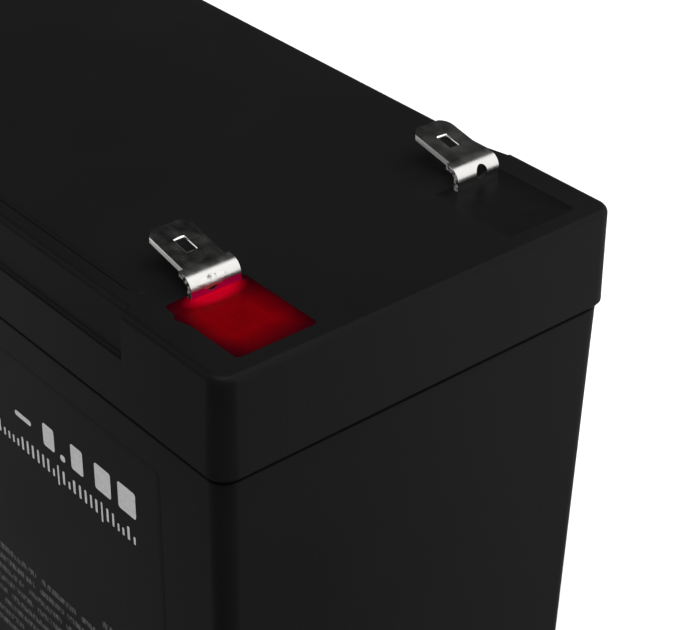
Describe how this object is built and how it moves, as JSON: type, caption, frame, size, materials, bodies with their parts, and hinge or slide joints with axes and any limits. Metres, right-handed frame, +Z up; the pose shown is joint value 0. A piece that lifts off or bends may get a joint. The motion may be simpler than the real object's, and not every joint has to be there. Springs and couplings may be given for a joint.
{
  "type": "sealed lead acid battery",
  "caption": "Sealed lead acid battery: drafted black case with a bonded lid, a vent cover over rubber valves, bent blade terminals in potted wells and plate groups in separate cells.",
  "frame": {"origin": "middle of the underside, on the plane the battery stands on", "axes": "+Z up, +X along the length towards the terminal end, -Y towards the labelled long side (the positive terminal is nearer this side), +Y towards the plain long side"},
  "size_m": [0.151, 0.065, 0.0986],
  "materials": {
    "case_plastic": "satin moulded plastic, very fine texture",
    "glue": "cured epoxy in a shadow line",
    "label_film": "dark printed film",
    "valve_rubber": "dull moulded rubber",
    "tin_plate": "bright tin plating with fine rolling lines",
    "red_potting": "deep red cast epoxy",
    "black_potting": "black cast epoxy",
    "lead": "dull cast lead",
    "positive_plate": "brown pasted plate",
    "negative_plate": "grey pasted plate",
    "glass_mat": "white glass fibre mat"
  },
  "bodies": {
    "root": {"container": "case_plastic", "lid": "case_plastic", "lid_bond": "glue", "vent_cover": "case_plastic", "side_label": "label_film", "valve_cap_1": "valve_rubber", "valve_cap_2": "valve_rubber", "valve_cap_3": "valve_rubber", "valve_cap_4": "valve_rubber", "valve_cap_5": "valve_rubber", "valve_cap_6": "valve_rubber", "positive_terminal": "tin_plate", "positive_post": "lead", "positive_o_ring": "valve_rubber", "positive_potting": "red_potting", "negative_terminal": "tin_plate", "negative_post": "lead", "negative_o_ring": "valve_rubber", "negative_potting": "black_potting", "positive_plates_1": "positive_plate", "negative_plates_1": "negative_plate", "separators_1": "glass_mat", "positive_plates_2": "positive_plate", "negative_plates_2": "negative_plate", "separators_2": "glass_mat", "positive_plates_3": "positive_plate", "negative_plates_3": "negative_plate", "separators_3": "glass_mat", "positive_plates_4": "positive_plate", "negative_plates_4": "negative_plate", "separators_4": "glass_mat", "positive_plates_5": "positive_plate", "negative_plates_5": "negative_plate", "separators_5": "glass_mat", "positive_plates_6": "positive_plate", "negative_plates_6": "negative_plate", "separators_6": "glass_mat", "intercell_weld_1": "lead", "intercell_weld_2": "lead", "intercell_weld_3": "lead", "intercell_weld_4": "lead", "intercell_weld_5": "lead"}
  },
  "joints": []
}
